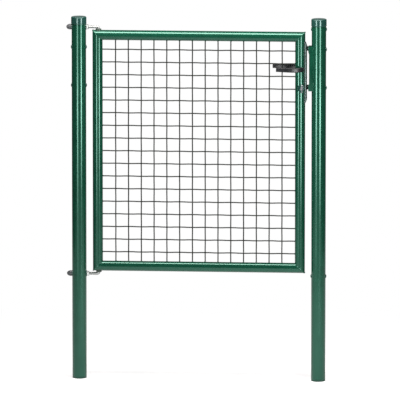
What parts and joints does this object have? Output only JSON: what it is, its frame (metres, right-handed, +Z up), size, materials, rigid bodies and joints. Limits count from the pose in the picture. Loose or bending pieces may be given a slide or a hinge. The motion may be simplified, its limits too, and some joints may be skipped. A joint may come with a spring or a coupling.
{
  "type": "garden gate",
  "caption": "Single-leaf steel garden gate with round tube frame, wire mesh, lever handles and lock, hung between two capped round posts.",
  "frame": {"origin": "centre of the hinge post's foot", "axes": "+X from the hinge post to the latch post, +Z up, the leaf opens towards -Y"},
  "size_m": [1.0855, 0.111, 1.5285],
  "materials": {
    "green_coat": "glossy moss-green powder coat on galvanised steel",
    "cap_plastic": "satin dark green moulded plastic",
    "bolt_coat": "dark green coated bolt",
    "zinc": "satin zinc plate",
    "mesh_wire": "dull galvanised wire",
    "black_plastic": "satin black moulded plastic",
    "stop_rubber": "matt black rubber",
    "nickel": "satin nickel plate"
  },
  "bodies": {
    "posts": {"hinge_post": "green_coat", "latch_post": "green_coat", "hinge_post_cap": "cap_plastic", "latch_post_cap": "cap_plastic", "hinge_post_plugs_upper": "cap_plastic", "hinge_post_plugs_lower": "cap_plastic", "latch_post_plugs_top": "cap_plastic", "latch_post_plugs_bottom": "cap_plastic", "hinge_rod_top": "zinc", "hinge_rod_bottom": "zinc", "hinge_washer_top": "zinc", "hinge_washer_bottom": "zinc", "hinge_nut_inner_top": "zinc", "hinge_nut_inner_bottom": "zinc", "hinge_nut_outer_top": "zinc", "hinge_nut_outer_bottom": "zinc", "hinge_dome_top": "black_plastic", "hinge_dome_bottom": "black_plastic", "strike_channel": "green_coat", "strike_bolt_top": "bolt_coat", "strike_bolt_bottom": "bolt_coat", "strike_nut_top": "zinc", "strike_nut_bottom": "zinc", "stop_buffer_top": "stop_rubber", "stop_buffer_bottom": "stop_rubber"},
    "leaf": {"hinge_stile": "green_coat", "latch_stile": "green_coat", "top_rail": "green_coat", "bottom_rail": "green_coat", "mesh_panel": "mesh_wire", "hinge_bush_top": "black_plastic", "hinge_bush_bottom": "black_plastic", "lock_case": "zinc", "lock_faceplate": "zinc", "latch_bolt": "nickel", "dead_bolt": "nickel", "lock_cylinder": "nickel", "handle_rose_front": "black_plastic", "handle_rose_back": "black_plastic"},
    "lever": {"lever_front": "black_plastic", "lever_back": "black_plastic", "spindle": "zinc"}
  },
  "joints": [
    {"name": "leaf_swing", "type": "hinge", "parent": "posts", "child": "leaf", "pos_m": [0.082, 0, 0.456], "axis": [0, 0, -1], "range_deg": [0, 110]},
    {"name": "lever_turn", "type": "hinge", "parent": "leaf", "child": "lever", "pos_m": [0.9295, 0, 1.317], "axis": [0, -1, 0], "range_deg": [0, 35], "stiffness_Nm_per_rad": 1.5, "springref_deg": -20.05}
  ]
}
